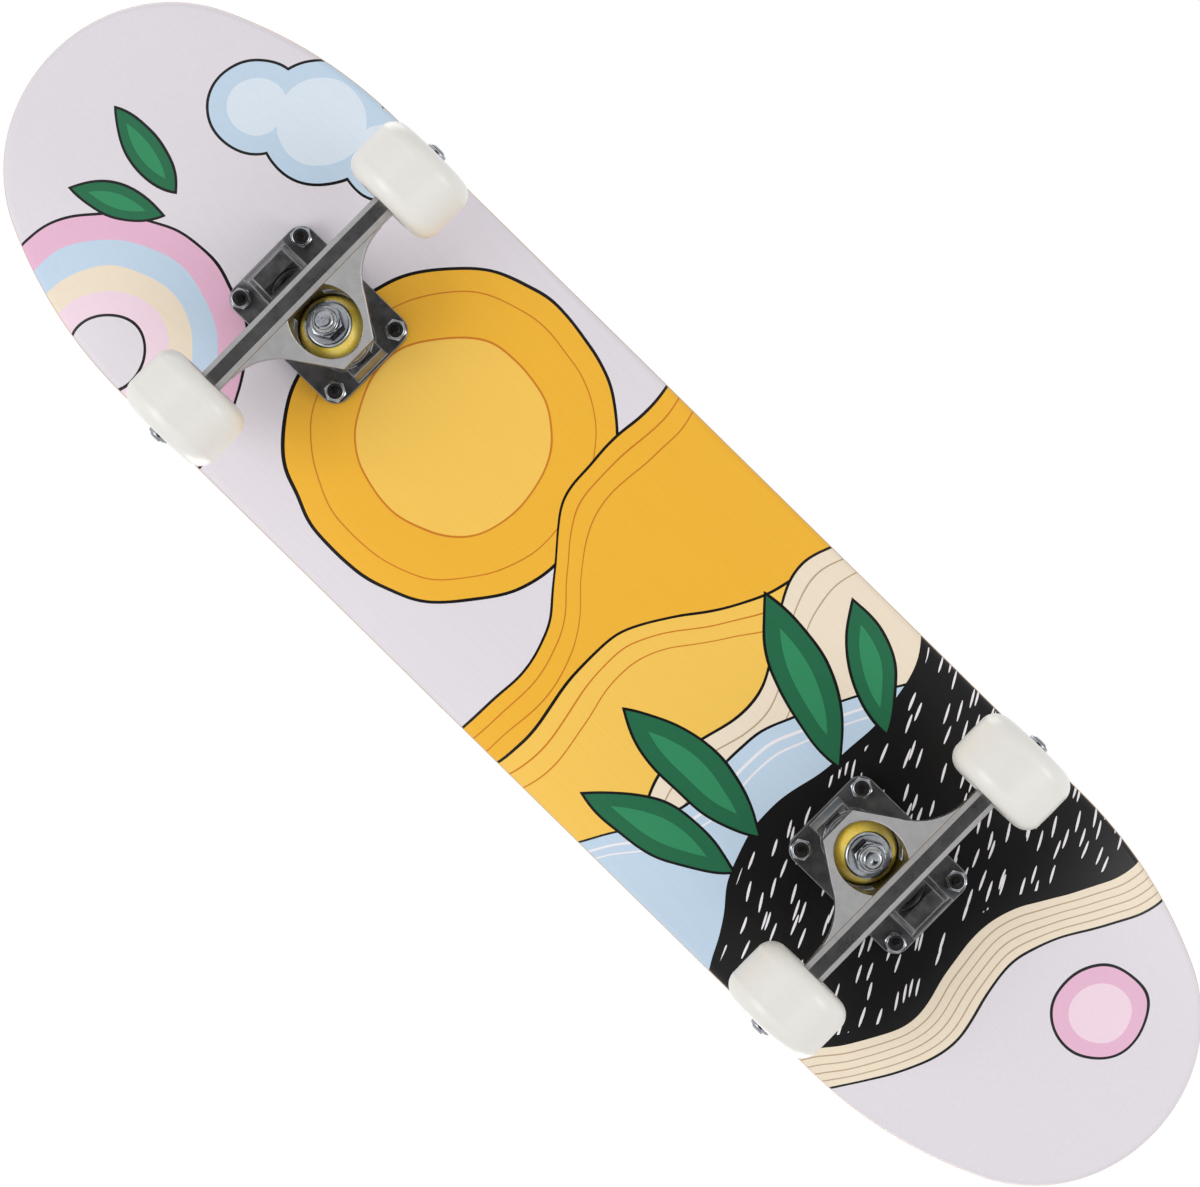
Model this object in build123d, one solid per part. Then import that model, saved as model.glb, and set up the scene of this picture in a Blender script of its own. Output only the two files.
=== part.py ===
from build123d import *
import math
import os

# Skateboard standing on its wheels. X runs along the board, Y across it, Z up.
# The origin is on the floor under the middle of the deck. Millimetres and degrees.

# Deck
deck_length = 758.0
deck_width = 187.5
deck_thickness = 11.0
straight_side_length = 464.0     # parallel part of the outline
tip_radius = 80.0                # plan radius of nose and tail
kick_past_truck = 47.0           # upward bend beyond the centre of each bolt pattern
kick_angle = 20.0
kick_bend_radius = 150.0         # at the standing surface
concave_flat_width = 76.0
concave_radius = 235.0           # at the underside
deck_edge_radius = 3.0
edge_radius_limit = 0.45         # of the thickness, for a thin deck

# Grip tape
grip_thickness = 1.0
grip_inset = 3.2                 # from the deck's edge
grip_hole_clearance = 0.3

# Truck positions and mounting pattern
truck_spacing = 376.0            # between the centres of the bolt patterns
truck_shift = 3.0                # trucks and bends ahead of the deck's middle, so one end is longer
truck_height = 52.0              # deck underside to axle
axle_offset = 9.5                # axle outboard of the bolt pattern's centre
bolt_spacing_along = 63.5
bolt_spacing_across = 41.3

# Mounting bolts and nuts
bolt_diameter = 4.8
bolt_hole_clearance = 0.3
bolt_head_diameter = 9.4
bolt_head_depth_below_grip = 0.3
bolt_tip_stickout = 1.0
bolt_recess_width = 1.1
bolt_recess_span = 4.6
bolt_recess_depth = 1.6
mount_nut_width = 9.5
mount_nut_height = 6.0

# Shape shared by all lock nuts, as shares of their height and half width, and thread ends
nut_hexagon_share = 0.72
nut_collar_share = 0.9
nut_collar_chamfer_share = 0.14
thread_chamfer = 0.8

# Baseplate
baseplate_margin = 6.3           # plate edge beyond the bolt centres
baseplate_thickness = 6.0
baseplate_corner_radius = 8.0
boss_radius = 14.6               # round seat under the lower washer
boss_block_width = 19.0
boss_block_inset = 1.5           # from the plate's inner edge
boss_block_depth = 6.0
boss_block_slope = 3.0
boss_window_length = 4.0
boss_window_width = 9.0
boss_window_depth = 1.2
housing_wall = 2.0               # round the pivot cup
housing_foot_width = 26.0
housing_foot_depth = 7.0
housing_foot_inset = 1.0         # from the plate's outer edge
housing_inset = 3.4              # from the plate's outer edge
housing_draft = 1.7

# Kingpin and what is stacked on it
kingpin_angle = 12.0             # from upright, leaning outboard towards the floor
kingpin_inset = 18.9             # inboard of the bolt pattern, at the deck's underside
kingpin_diameter = 9.5
kingpin_head_width = 14.3
kingpin_head_height = 5.5
kingpin_head_sink = 2.0          # below the deck's underside
kingpin_head_clearance = 0.2
boss_floor = 5.5                 # metal between the head and the washer
cup_washer_thickness = 2.0
board_washer_diameter = 28.6
road_washer_diameter = 22.8
washer_lip = 0.9
washer_lip_height = 1.0
board_bushing_diameter = 26.6
board_bushing_height = 13.0
road_bushing_base_diameter = 31.0
road_bushing_tip_diameter = 20.6
road_bushing_height = 10.0
bushing_edge = 1.2
bushing_bore_clearance = 0.15
kingpin_nut_width = 14.3
kingpin_nut_height = 8.0
kingpin_stickout = 2.0

# Hanger
yoke_web = 5.0                   # between the two bushings
yoke_hole_clearance = 3.2        # round the kingpin, room to lean
yoke_seat_radius = 16.3
yoke_wall = 1.8
yoke_board_rim = 3.0
yoke_road_rim = 4.0
yoke_end_half_width = 10.0
yoke_half_width = 22.0
wing_half_span = 50.0            # where the wings meet the bar
wing_thickness = 10.0
wing_hollow = 4.5                # sag of the wings' curved edge
hanger_length = 123.5
bar_width = 11.2
bar_depth = 13.0
bar_flat = 6.4
bar_wall_at_nut = 1.7            # metal left over the axle beside the kingpin nut
bar_notch_width = 26.0           # clears the kingpin nut
wing_drop = 2.0                  # wing face to the axle line, at the bar
neck_width = 18.5
neck_lip = 2.0                   # neck beyond the pivot's root below it, and short of it above

# Pivot
pivot_angle = 23.7               # pivot axis above the horizontal, rising outboard
pivot_face_distance = 36.5       # yoke centre to the housing's face
pivot_nose_radius = 5.9
pivot_root_radius = 7.4
pivot_clearance = 0.08
pivot_cup_wall = 2.0
pivot_cup_depth = 8.5
pivot_cup_lip = 1.5
pivot_cup_lip_overhang = 0.9
pivot_shoulder_gap = 3.0
pivot_end_gap = 0.4

# Axle, wheels and bearings
axle_diameter = 7.94
axle_stickout = 1.0
speed_washer_thickness = 1.0
speed_washer_diameter = 11.4
axle_nut_width = 12.7
axle_nut_height = 6.2
wheel_diameter = 54.0
wheel_width = 34.0
wheel_lip_radius = 9.0
wheel_recess_mouth = 30.0
wheel_recess_floor = 24.0
wheel_shoulder_height = 2.0      # stops the bearing's outer ring
bearing_outer_diameter = 22.0
bearing_width = 7.0
bearing_ring_wall = 1.9
bearing_spacer_length = 10.0
bearing_spacer_wall = 1.5
ball_diameter = 3.6
ball_count = 7
ball_clearance = 0.06
cage_thickness = 1.2
cage_web = 0.6
shield_thickness = 0.4
shield_inset = 0.2
shield_gap = 0.3

# Heights above the floor
axle_height = wheel_diameter / 2
deck_underside = axle_height + truck_height
deck_top = deck_underside + deck_thickness
grip_top = deck_top + grip_thickness

# Stations along the kingpin, measured from the deck's underside
head_start = kingpin_head_sink
head_end = head_start + kingpin_head_height
boss_seat = head_end + boss_floor
board_bushing_start = boss_seat + cup_washer_thickness
web_start = board_bushing_start + board_bushing_height
web_end = web_start + yoke_web
road_washer_start = web_end + road_bushing_height
kingpin_nut_start = road_washer_start + cup_washer_thickness
kingpin_end = kingpin_nut_start + kingpin_nut_height + kingpin_stickout
yoke_center_station = (web_start + web_end) / 2

# Stations along the axle, from the middle outwards
hanger_end = hanger_length / 2
inner_bearing_start = hanger_end + speed_washer_thickness
spacer_start = inner_bearing_start + bearing_width
outer_bearing_start = spacer_start + bearing_spacer_length
outer_washer_start = outer_bearing_start + bearing_width
axle_nut_start = outer_washer_start + speed_washer_thickness
axle_end = axle_nut_start + axle_nut_height + axle_stickout
wheel_center = spacer_start + bearing_spacer_length / 2

lean = math.radians(kingpin_angle)
rise = math.radians(pivot_angle)
kingpin_down = Vector(math.sin(lean), 0, -math.cos(lean))
kingpin_side = Vector(math.cos(lean), 0, math.sin(lean))
kingpin_root = Vector(-kingpin_inset, 0, 0)
yoke_center = kingpin_root + kingpin_down * yoke_center_station
pivot_out = Vector(math.cos(rise), 0, math.sin(rise))

# Places of the two inclined axes in a truck's own frame: the origin is the middle of
# the bolt pattern on the deck's underside, X points outboard, Z up
kingpin_place = Plane(kingpin_root, x_dir=kingpin_side, z_dir=kingpin_down).location
pivot_place = Plane(yoke_center, x_dir=(0, 1, 0), z_dir=pivot_out).location
axle_place = Pos(axle_offset, 0, -truck_height)

bolt_places = [
    (bolt_spacing_along / 2 * along, bolt_spacing_across / 2 * across)
    for along in (1, -1)
    for across in (1, -1)
]
plate_half_length = bolt_spacing_along / 2 + baseplate_margin
plate_half_width = bolt_spacing_across / 2 + baseplate_margin
from_base = (Align.CENTER, Align.CENTER, Align.MIN)


def turned(*outline):
    # A closed outline of (radius, height) points turned about Z
    return revolve(make_face(Plane.XZ * Polyline(*outline, close=True)), Axis.Z)


def tube(outer, inner, start, end):
    return turned((inner, start), (outer, start), (outer, end), (inner, end))


def rod(radius, start, end):
    return Pos(0, 0, start) * Cylinder(radius, end - start, align=from_base)


def hex_prism(width, start, end):
    return Pos(0, 0, start) * extrude(RegularPolygon(width / 2, 6, major_radius=False), end - start)


def lock_nut(width, height, bore):
    # A hexagon with chamfered corners under a round collar that holds a nylon ring
    flat = width / 2
    corner = flat / math.cos(math.radians(30))
    chamfer_height = (corner - flat) * math.tan(math.radians(30))
    hex_height = height * nut_hexagon_share
    collar = flat * nut_collar_share
    collar_chamfer = flat * nut_collar_chamfer_share
    hexagon = hex_prism(width, 0, hex_height) & turned(
        (bore, 0),
        (flat, 0),
        (corner, chamfer_height),
        (corner, hex_height - chamfer_height),
        (flat, hex_height),
        (bore, hex_height),
    )
    ring = turned(
        (bore, hex_height),
        (collar, hex_height),
        (collar, height - collar_chamfer),
        (collar - collar_chamfer, height),
        (bore, height),
    )
    return hexagon + ring


def cross_section_slab(points, width):
    # A side view of (X, Z) points made into a slab that is centred on Y
    return extrude(make_face(Plane.XZ * Polyline(*points, close=True)), width / 2, both=True)


def on_pivot(distance, offset):
    # The (X, Z) point this far out along the pivot axis and this far above it
    point = yoke_center + pivot_out * distance
    return point.X - offset * math.sin(rise), point.Z + offset * math.cos(rise)


def on_housing_face(height):
    # The (X, Z) point of the pivot housing's inclined face at this height
    climb = (height - yoke_center.Z) * math.sin(rise)
    return yoke_center.X + (pivot_face_distance - climb) / math.cos(rise), height


def on_kingpin(station, offset):
    # The (X, Z) point at this station of the kingpin, this far outboard of its axis
    point = kingpin_root + kingpin_down * station + kingpin_side * offset
    return point.X, point.Z


def deck_outline(inset):
    # Straight sides, a large arc towards each end and a smaller arc round each tip
    half_length = deck_length / 2 - inset
    half_width = deck_width / 2 - inset
    tip = tip_radius - inset
    side_end = straight_side_length / 2
    tip_center = half_length - tip
    run = tip_center - side_end
    side_radius = (run**2 + half_width**2 - tip**2) / (2 * (half_width - tip))
    side_drop = side_radius - half_width
    turn = math.atan2(side_drop, run)
    middle = (math.pi / 2 + turn) / 2
    meet = (tip_center + tip * math.cos(turn), tip * math.sin(turn))
    bulge = (side_end + side_radius * math.cos(middle), side_radius * math.sin(middle) - side_drop)
    edges = []
    for end in (1, -1):
        corners = [(end * meet[0], side * meet[1]) for side in (1, -1)]
        edges.append(ThreePointArc(corners[0], (end * half_length, 0), corners[1]))
        for side, corner in zip((1, -1), corners):
            start = (end * side_end, side * half_width)
            through = (end * bulge[0], side * bulge[1])
            edges.append(ThreePointArc(start, through, corner))
    for side in (1, -1):
        edges.append(Line((-side_end, side * half_width), (side_end, side * half_width)))
    return make_face(edges)


def board_layer(bottom, top, inset):
    # A layer of the pressed board between two heights over its underside, cut to the outline
    flat = concave_flat_width / 2
    reach = math.asin((deck_width / 2 + deck_thickness - flat) / (concave_radius - top))

    def side_point(height, share, side):
        radius = concave_radius - height
        across = flat + radius * math.sin(reach * share)
        return side * across, concave_radius - radius * math.cos(reach * share)

    edges = []
    for height in (bottom, top):
        edges.append(Line((-flat, height), (flat, height)))
        for side in (1, -1):
            points = [side_point(height, share, side) for share in (0, 0.5, 1)]
            edges.append(ThreePointArc(*points))
    for side in (1, -1):
        edges.append(Line(side_point(bottom, 1, side), side_point(top, 1, side)))

    bend = truck_spacing / 2 + kick_past_truck
    section = Plane((bend, 0, deck_underside), x_dir=(0, 1, 0), z_dir=(1, 0, 0)) * make_face(edges)
    hinge = Axis((bend, 0, deck_top + kick_bend_radius), (0, -1, 0))
    angle = math.radians(kick_angle)
    uphill = (math.cos(angle), 0, math.sin(angle))
    half_layer = extrude(section, -bend)
    half_layer += revolve(section, hinge, kick_angle)
    half_layer += extrude(section.rotate(hinge, kick_angle), deck_length / 4, dir=uphill)
    layer = Pos(truck_shift, 0, 0) * (half_layer + mirror(half_layer, Plane.YZ))
    return layer & extrude(deck_outline(inset), deck_length / 2)


def every_bolt(shape):
    # A shape made at a bolt's axis, repeated at the eight bolts of both trucks
    return [
        Pos(truck_shift + side * truck_spacing / 2 + x, y, 0) * shape
        for side in (1, -1)
        for x, y in bolt_places
    ]


head_top = grip_top - bolt_head_depth_below_grip
head_radius = bolt_head_diameter / 2
bolt_radius = bolt_diameter / 2
head_cone = head_radius - bolt_radius
bolt_hole = bolt_radius + bolt_hole_clearance


def make_deck():
    deck = board_layer(0, deck_thickness, 0)
    walls = [face for face in deck.faces() if abs(face.normal_at().Z) < 0.01]
    rims = [edge for wall in walls for edge in wall.edges() if abs(edge.tangent_at(0.5).Z) < 0.9]
    deck = fillet(rims, min(deck_edge_radius, deck_thickness * edge_radius_limit))
    sink = turned(
        (0, deck_underside - 1),
        (bolt_hole, deck_underside - 1),
        (bolt_hole, head_top - head_cone),
        (head_radius + bolt_hole_clearance, head_top),
        (head_radius + bolt_hole_clearance, grip_top),
        (0, grip_top),
    )
    return deck - every_bolt(sink)


def make_grip_tape():
    tape = board_layer(deck_thickness, deck_thickness + grip_thickness, grip_inset)
    hole = rod(head_radius + grip_hole_clearance, deck_underside, grip_top + 1)
    return tape - every_bolt(hole)


def make_mount_bolts():
    top = head_top - deck_underside
    tip = -baseplate_thickness - mount_nut_height - bolt_tip_stickout
    bolt = turned(
        (0, tip),
        (bolt_radius - thread_chamfer, tip),
        (bolt_radius, tip + thread_chamfer),
        (bolt_radius, top - head_cone),
        (head_radius, top),
        (0, top),
    )
    cut_base = Pos(0, 0, top - bolt_recess_depth)
    for slot in ((bolt_recess_span, bolt_recess_width), (bolt_recess_width, bolt_recess_span)):
        bolt -= cut_base * Box(*slot, bolt_recess_depth, align=from_base)
    return [Pos(x, y, 0) * bolt for x, y in bolt_places]


def make_mount_nuts():
    nut = Rot(180, 0, 0) * lock_nut(mount_nut_width, mount_nut_height, bolt_radius)
    return [Pos(x, y, -baseplate_thickness) * nut for x, y in bolt_places]


cup_inner = pivot_nose_radius + pivot_clearance
cup_outer = cup_inner + pivot_cup_wall
cup_end = pivot_face_distance + pivot_cup_depth
nose_end = cup_end - pivot_cup_wall - pivot_end_gap


def make_baseplate():
    plate = extrude(
        RectangleRounded(2 * plate_half_length, 2 * plate_half_width, baseplate_corner_radius),
        -baseplate_thickness,
    )

    # Kingpin boss: a round seat square to the kingpin and a block towards the plate's inner edge
    seat_x, seat_z = on_kingpin(boss_seat, 0)
    boss = kingpin_place * rod(boss_radius, 0, boss_seat)
    block_start = -plate_half_length + boss_block_inset
    block_floor = -baseplate_thickness - boss_block_depth
    block = cross_section_slab(
        [
            (block_start, 0),
            (block_start, -baseplate_thickness),
            (block_start + boss_block_slope, block_floor),
            (seat_x, block_floor),
            (seat_x, 0),
        ],
        boss_block_width,
    )
    window = Pos(block_start + boss_block_slope + boss_window_length, 0, block_floor) * Box(
        boss_window_length, boss_window_width, 2 * boss_window_depth
    )

    # Pivot housing: a foot across the plate and a narrower block whose face is square to the pivot
    housing_half = cup_outer + housing_wall
    face_top = on_housing_face(0)
    face_foot = on_pivot(pivot_face_distance, -housing_half)
    outer_x = plate_half_length - housing_inset
    foot_x = plate_half_length - housing_foot_inset
    foot_floor = -baseplate_thickness - housing_foot_depth
    housing = cross_section_slab(
        [
            face_top,
            face_foot,
            (outer_x - housing_draft, face_foot[1]),
            (outer_x, foot_floor),
            (outer_x, 0),
        ],
        2 * housing_half,
    )
    foot = cross_section_slab(
        [
            face_top,
            on_housing_face(foot_floor),
            (outer_x, foot_floor),
            (foot_x, -baseplate_thickness),
            (foot_x, 0),
        ],
        housing_foot_width,
    )

    solid = plate + boss + block + housing + foot
    solid -= window
    solid -= Box(4 * plate_half_length, 4 * plate_half_width, truck_height, align=from_base)
    pocket_width = kingpin_head_width + 2 * kingpin_head_clearance
    solid -= kingpin_place * hex_prism(pocket_width, -boss_radius, head_end)
    solid -= kingpin_place * rod(kingpin_diameter / 2 + bushing_bore_clearance, 0, 2 * boss_seat)
    solid -= pivot_place * rod(cup_outer, pivot_face_distance - boss_radius, cup_end)
    for x, y in bolt_places:
        solid -= Pos(x, y, 0) * rod(bolt_hole, -2 * baseplate_thickness, 1)
    return solid


def make_pivot_cup():
    # A plastic thimble with a lip on the housing's face
    mouth = pivot_face_distance - pivot_cup_lip
    lip = cup_outer + pivot_cup_lip_overhang
    floor = cup_end - pivot_cup_wall
    return pivot_place * turned(
        (cup_inner, mouth),
        (lip, mouth),
        (lip, pivot_face_distance),
        (cup_outer, pivot_face_distance),
        (cup_outer, cup_end),
        (0, cup_end),
        (0, floor),
        (cup_inner - pivot_cup_wall, floor),
        (cup_inner, floor - pivot_cup_wall),
    )


def make_kingpin():
    radius = kingpin_diameter / 2
    head = hex_prism(kingpin_head_width, head_start, head_end)
    shank = turned(
        (0, head_start),
        (radius, head_start),
        (radius, kingpin_end - thread_chamfer),
        (radius - thread_chamfer, kingpin_end),
        (0, kingpin_end),
    )
    return kingpin_place * (head + shank)


def make_kingpin_nut():
    nut = lock_nut(kingpin_nut_width, kingpin_nut_height, kingpin_diameter / 2)
    return kingpin_place * Pos(0, 0, kingpin_nut_start) * nut


def cup_washer(diameter):
    # A flat washer with a turned-up lip round the end of a bushing
    radius = diameter / 2
    bore = kingpin_diameter / 2 + bushing_bore_clearance
    top = cup_washer_thickness + washer_lip_height
    return turned(
        (bore, 0),
        (radius - washer_lip, 0),
        (radius, washer_lip),
        (radius, top),
        (radius - washer_lip, top),
        (radius - washer_lip, cup_washer_thickness),
        (bore, cup_washer_thickness),
    )


def make_board_washer():
    return kingpin_place * Pos(0, 0, boss_seat) * cup_washer(board_washer_diameter)


def make_road_washer():
    return kingpin_place * Pos(0, 0, kingpin_nut_start) * Rot(180, 0, 0) * cup_washer(road_washer_diameter)


def bushing(start, start_diameter, end, end_diameter):
    bore = kingpin_diameter / 2 + bushing_bore_clearance
    start_radius = start_diameter / 2
    end_radius = end_diameter / 2
    return kingpin_place * turned(
        (bore, start),
        (start_radius - bushing_edge, start),
        (start_radius, start + bushing_edge),
        (end_radius, end - bushing_edge),
        (end_radius - bushing_edge, end),
        (bore, end),
    )


def make_board_bushing():
    return bushing(board_bushing_start, board_bushing_diameter, web_start, board_bushing_diameter)


def make_road_bushing():
    return bushing(web_end, road_bushing_base_diameter, road_washer_start, road_bushing_tip_diameter)


def make_hanger():
    # Bar: an octagon round the axle
    half_flat = bar_flat / 2
    half_width = bar_width / 2
    half_depth = bar_depth / 2
    corner = half_depth - (half_width - half_flat)
    octagon = [
        (axle_offset + x, -truck_height + z)
        for x, z in (
            (half_flat, half_depth),
            (half_width, corner),
            (half_width, -corner),
            (half_flat, -half_depth),
            (-half_flat, -half_depth),
            (-half_width, -corner),
            (-half_width, corner),
            (-half_flat, half_depth),
        )
    ]
    bar = cross_section_slab(octagon, hanger_length)
    notch_floor = axle_offset - axle_diameter / 2 - bar_wall_at_nut
    bar -= Pos(notch_floor, 0, -truck_height) * Box(
        bar_width, bar_notch_width, 2 * bar_depth, align=(Align.MAX, Align.CENTER, Align.CENTER)
    )

    # Yoke and wings: the plan outline cut by a side view that slopes from the yoke to the bar
    yoke_end = on_kingpin(web_end, -yoke_seat_radius - yoke_wall)[0]
    bar_inner = axle_offset - half_width
    board_rim = web_start - yoke_board_rim
    road_rim = web_end + yoke_road_rim
    edges = [
        Line((yoke_end, -yoke_end_half_width), (yoke_end, yoke_end_half_width)),
        Line((axle_offset, -wing_half_span), (axle_offset, wing_half_span)),
    ]
    chord = Vector(bar_inner - yoke_center.X, wing_half_span - yoke_half_width)
    middle = Vector(yoke_center.X, yoke_half_width) + chord / 2
    hollow = middle + Vector(chord.Y, -chord.X).normalized() * wing_hollow
    for side in (1, -1):
        yoke_corner = (yoke_center.X, side * yoke_half_width)
        wing_tip = (bar_inner, side * wing_half_span)
        edges.append(Line((yoke_end, side * yoke_end_half_width), yoke_corner))
        edges.append(ThreePointArc(yoke_corner, (hollow.X, side * hollow.Y), wing_tip))
        edges.append(Line(wing_tip, (axle_offset, side * wing_half_span)))
    outline = extrude(make_face(edges), -2 * truck_height)
    end_road = on_kingpin(road_rim, -yoke_seat_radius - yoke_wall)[1]
    end_board = on_kingpin(board_rim, -yoke_seat_radius - yoke_wall)[1]
    wing_road = -truck_height - wing_drop
    slope = (wing_road - end_road) / (bar_inner - yoke_end)
    side_view = [
        (yoke_end, end_board),
        (yoke_end, end_road),
        (bar_inner, wing_road),
        (axle_offset, wing_road),
        (axle_offset, wing_road + wing_thickness),
        (bar_inner, wing_road + wing_thickness),
        (yoke_center.X, end_road + slope * (yoke_center.X - yoke_end) + wing_thickness),
    ]
    wings = outline & cross_section_slab(side_view, 2 * wing_half_span)
    yoke = outline & (kingpin_place * rod(yoke_seat_radius + yoke_wall, board_rim, road_rim))

    # Neck: from the yoke and the bar out to the pivot's shoulder
    shoulder = pivot_face_distance - pivot_cup_lip - pivot_shoulder_gap
    reach = pivot_root_radius + neck_lip
    neck = cross_section_slab(
        [
            on_pivot(shoulder, pivot_root_radius - neck_lip),
            on_pivot(shoulder, -reach),
            (axle_offset + half_flat, -truck_height),
            (axle_offset - half_flat, -truck_height),
            on_kingpin(web_end, yoke_seat_radius / 2),
            on_kingpin(web_start, yoke_seat_radius / 2),
        ],
        neck_width,
    )
    nose = pivot_place * turned(
        (0, 0),
        (pivot_root_radius, 0),
        (pivot_root_radius, shoulder),
        (pivot_nose_radius, pivot_face_distance - pivot_cup_lip),
        (pivot_nose_radius, nose_end - pivot_cup_wall),
        (pivot_nose_radius - pivot_cup_wall, nose_end),
        (0, nose_end),
    )

    # Bushing seats and the kingpin's hole. The lower seat goes on as a well that clears the kingpin nut
    solid = wings + yoke + neck + nose
    solid -= kingpin_place * rod(yoke_seat_radius, web_end, 2 * truck_height)
    solid -= kingpin_place * rod(yoke_seat_radius, board_rim - truck_height, web_start)
    solid -= kingpin_place * rod(kingpin_diameter / 2 + yoke_hole_clearance, 0, 2 * truck_height)
    solid += bar
    solid -= axle_place * Rot(90, 0, 0) * Cylinder(axle_diameter / 2, 2 * hanger_length)
    return solid


def make_axle():
    radius = axle_diameter / 2
    tip = radius - thread_chamfer
    return axle_place * Rot(90, 0, 0) * turned(
        (0, -axle_end),
        (tip, -axle_end),
        (radius, thread_chamfer - axle_end),
        (radius, axle_end - thread_chamfer),
        (tip, axle_end),
        (0, axle_end),
    )


def outward(side):
    # A place on the axle whose Z points out of the truck on one side
    return axle_place * Rot(-90 * side, 0, 0)


def both_sides(*shapes):
    return [outward(side) * shape for side in (1, -1) for shape in shapes]


axle_radius = axle_diameter / 2
bearing_radius = bearing_outer_diameter / 2
pitch_radius = (axle_radius + bearing_radius) / 2
ball_radius = ball_diameter / 2
groove_radius = ball_radius + ball_clearance
inner_ring_radius = axle_radius + bearing_ring_wall
outer_ring_radius = bearing_radius - bearing_ring_wall
bearing_starts = (inner_bearing_start, outer_bearing_start)


def ball_groove(middle):
    # The ring-shaped track that the balls run in
    return Pos(0, 0, middle) * Torus(pitch_radius, groove_radius)


def make_inner_rings():
    rings = []
    for start in bearing_starts:
        ring = tube(inner_ring_radius, axle_radius, start, start + bearing_width)
        rings.append(ring - ball_groove(start + bearing_width / 2))
    return both_sides(*rings)


def make_spacers():
    spacer = tube(axle_radius + bearing_spacer_wall, axle_radius, spacer_start, outer_bearing_start)
    return both_sides(spacer)


def make_speed_washers():
    washers = [
        tube(speed_washer_diameter / 2, axle_radius, start, start + speed_washer_thickness)
        for start in (hanger_end, outer_washer_start)
    ]
    return both_sides(*washers)


def make_axle_nuts():
    return both_sides(Pos(0, 0, axle_nut_start) * lock_nut(axle_nut_width, axle_nut_height, axle_radius))


def make_wheel():
    # A moulded tread with rounded lips, a cone-shaped recess and a bearing seat at each face
    radius = wheel_diameter / 2
    half = wheel_width / 2
    seat = bearing_spacer_length / 2
    recess = seat + bearing_width
    lip_center = (radius - wheel_lip_radius, half - wheel_lip_radius)
    lip_middle = wheel_lip_radius * math.sqrt(0.5)
    edges = [Line((radius, -lip_center[1]), (radius, lip_center[1]))]
    for end in (1, -1):
        edges.append(
            ThreePointArc(
                (radius, end * lip_center[1]),
                (lip_center[0] + lip_middle, end * (lip_center[1] + lip_middle)),
                (lip_center[0], end * half),
            )
        )
        edges += Polyline(
            (lip_center[0], end * half),
            (wheel_recess_mouth / 2, end * half),
            (wheel_recess_floor / 2, end * recess),
            (bearing_radius, end * recess),
            (bearing_radius, end * seat),
            (bearing_radius - wheel_shoulder_height, end * seat),
        ).edges()
    shoulder = bearing_radius - wheel_shoulder_height
    edges.append(Line((shoulder, seat), (shoulder, -seat)))
    profile = make_face([Plane.XZ * edge for edge in edges])
    return Pos(0, 0, wheel_center) * revolve(profile, Axis.Z)


def make_outer_rings():
    rings = []
    for start in bearing_starts:
        ring = tube(bearing_radius, outer_ring_radius, start, start + bearing_width)
        rings.append(ring - ball_groove(start + bearing_width / 2))
    return rings


def make_shields():
    # Two thin covers in each bearing, held by the outer ring and clear of the inner one
    covers = []
    inner = inner_ring_radius + shield_gap
    for start in bearing_starts:
        for low in (start + shield_inset, start + bearing_width - shield_inset - shield_thickness):
            covers.append(tube(outer_ring_radius, inner, low, low + shield_thickness))
    return covers


def ball_places(start):
    middle = Pos(0, 0, start + bearing_width / 2)
    step = 360 / ball_count
    return [middle * Rot(0, 0, step * number) * Pos(pitch_radius, 0, 0) for number in range(ball_count)]


def make_balls():
    return [place * Sphere(ball_radius) for start in bearing_starts for place in ball_places(start)]


def make_cages():
    # A crown that keeps the balls apart, closed by a web on one side
    cages = []
    for start in bearing_starts:
        middle = start + bearing_width / 2
        cage = tube(
            pitch_radius + cage_thickness / 2,
            pitch_radius - cage_thickness / 2,
            middle - ball_radius / 2,
            middle + groove_radius + cage_web,
        )
        for place in ball_places(start):
            cage -= place * Sphere(groove_radius)
        cages.append(cage)
    return cages


def save(name, place, shapes):
    # One file for each node, with every solid of a group kept separate
    solids = [solid for shape in shapes for solid in (place * shape).solids()]
    export_step(solids[0] if len(solids) == 1 else Compound(solids), f"parts/{name}.step")


truck_makers = {
    "baseplate": make_baseplate,
    "pivot_cup": make_pivot_cup,
    "kingpin": make_kingpin,
    "kingpin_nut": make_kingpin_nut,
    "board_washer": make_board_washer,
    "board_bushing": make_board_bushing,
    "road_bushing": make_road_bushing,
    "road_washer": make_road_washer,
    "mount_bolts": make_mount_bolts,
    "mount_nuts": make_mount_nuts,
    "hanger": make_hanger,
    "axle": make_axle,
    "bearing_inner_rings": make_inner_rings,
    "bearing_spacers": make_spacers,
    "speed_washers": make_speed_washers,
    "axle_nuts": make_axle_nuts,
}
wheel_makers = {
    "wheel": make_wheel,
    "bearing_outer_rings": make_outer_rings,
    "bearing_shields": make_shields,
    "bearing_balls": make_balls,
    "bearing_cages": make_cages,
}
truck_places = {
    "front": Pos(truck_shift + truck_spacing / 2, 0, deck_underside),
    "rear": Pos(truck_shift - truck_spacing / 2, 0, deck_underside) * Rot(0, 0, 180),
}
wheel_sides = {
    "front": {"left": 1, "right": -1},
    "rear": {"left": -1, "right": 1},
}


def as_list(made):
    return made if isinstance(made, list) else [made]


os.makedirs("parts", exist_ok=True)
save("deck", Pos(0, 0, 0), [make_deck()])
save("grip_tape", Pos(0, 0, 0), [make_grip_tape()])
for piece, maker in truck_makers.items():
    shapes = as_list(maker())
    for truck, place in truck_places.items():
        save(f"{truck}_{piece}", place, shapes)
for piece, maker in wheel_makers.items():
    shapes = as_list(maker())
    for truck, place in truck_places.items():
        for side_name, side in wheel_sides[truck].items():
            save(f"{truck}_{side_name}_{piece}", place * outward(side), shapes)

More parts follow.
